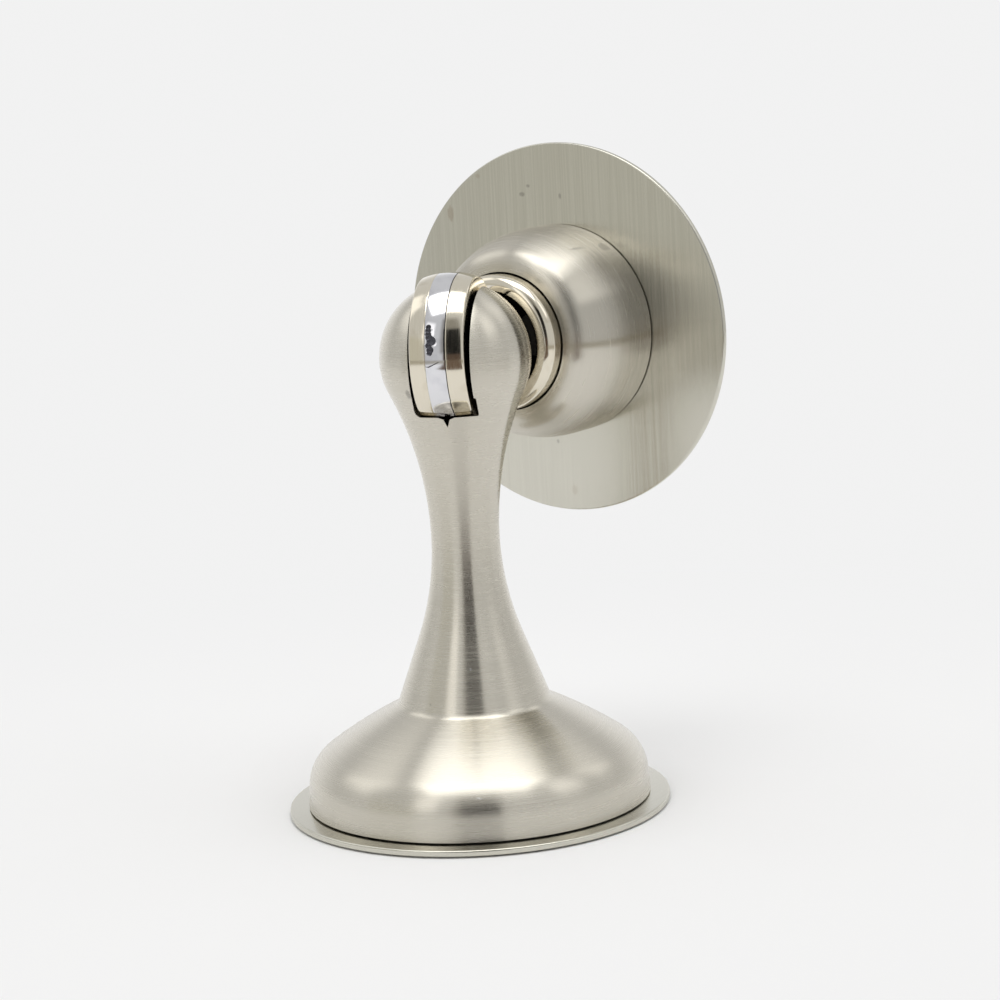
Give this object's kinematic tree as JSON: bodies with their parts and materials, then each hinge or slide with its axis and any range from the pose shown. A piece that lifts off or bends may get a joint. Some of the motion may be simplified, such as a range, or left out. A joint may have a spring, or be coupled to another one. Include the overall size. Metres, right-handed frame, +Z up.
{
  "type": "magnetic door stop",
  "caption": "Floor-mounted magnetic door stop: waisted stainless stem with a magnet wheel in its slotted ball head, held in the nickel ring of a domed door keeper on a round plate.",
  "frame": {"origin": "centre of the floor half's underside, on the stem's axis", "axes": "+Z up along the stem, +Y towards the door half"},
  "size_m": [0.0534, 0.055, 0.0905],
  "materials": {
    "satin_stainless": "satin brushed",
    "plate_stainless": "straight brushed",
    "nickel": "polished nickel plate",
    "magnet_plating": "bright plate, chipped",
    "plain_steel": "turned",
    "adhesive": "acrylic foam tape"
  },
  "bodies": {
    "floor_stop": {"floor_tape": "adhesive", "floor_plate": "plate_stainless", "floor_stud": "plain_steel", "stem_base": "plain_steel", "stem_shell": "satin_stainless", "axle_pin": "satin_stainless"},
    "magnet_wheel": {"pole_disc_left": "nickel", "disc_magnet": "magnet_plating", "pole_disc_right": "nickel"},
    "door_keeper": {"door_tape": "adhesive", "door_plate": "plate_stainless", "door_stud": "plain_steel", "dome_base": "plain_steel", "dome_cover": "satin_stainless", "keeper_cup": "nickel"}
  },
  "joints": [
    {"name": "wheel_spin", "type": "hinge", "parent": "floor_stop", "child": "magnet_wheel", "pos_m": [0.00029, -0.00075, 0.06425], "axis": [0.9311, 0.3649, 0], "continuous": true},
    {"name": "door_pull", "type": "slide", "parent": "floor_stop", "child": "door_keeper", "axis": [0, 1, 0], "range_m": [0, 0.04]}
  ]
}
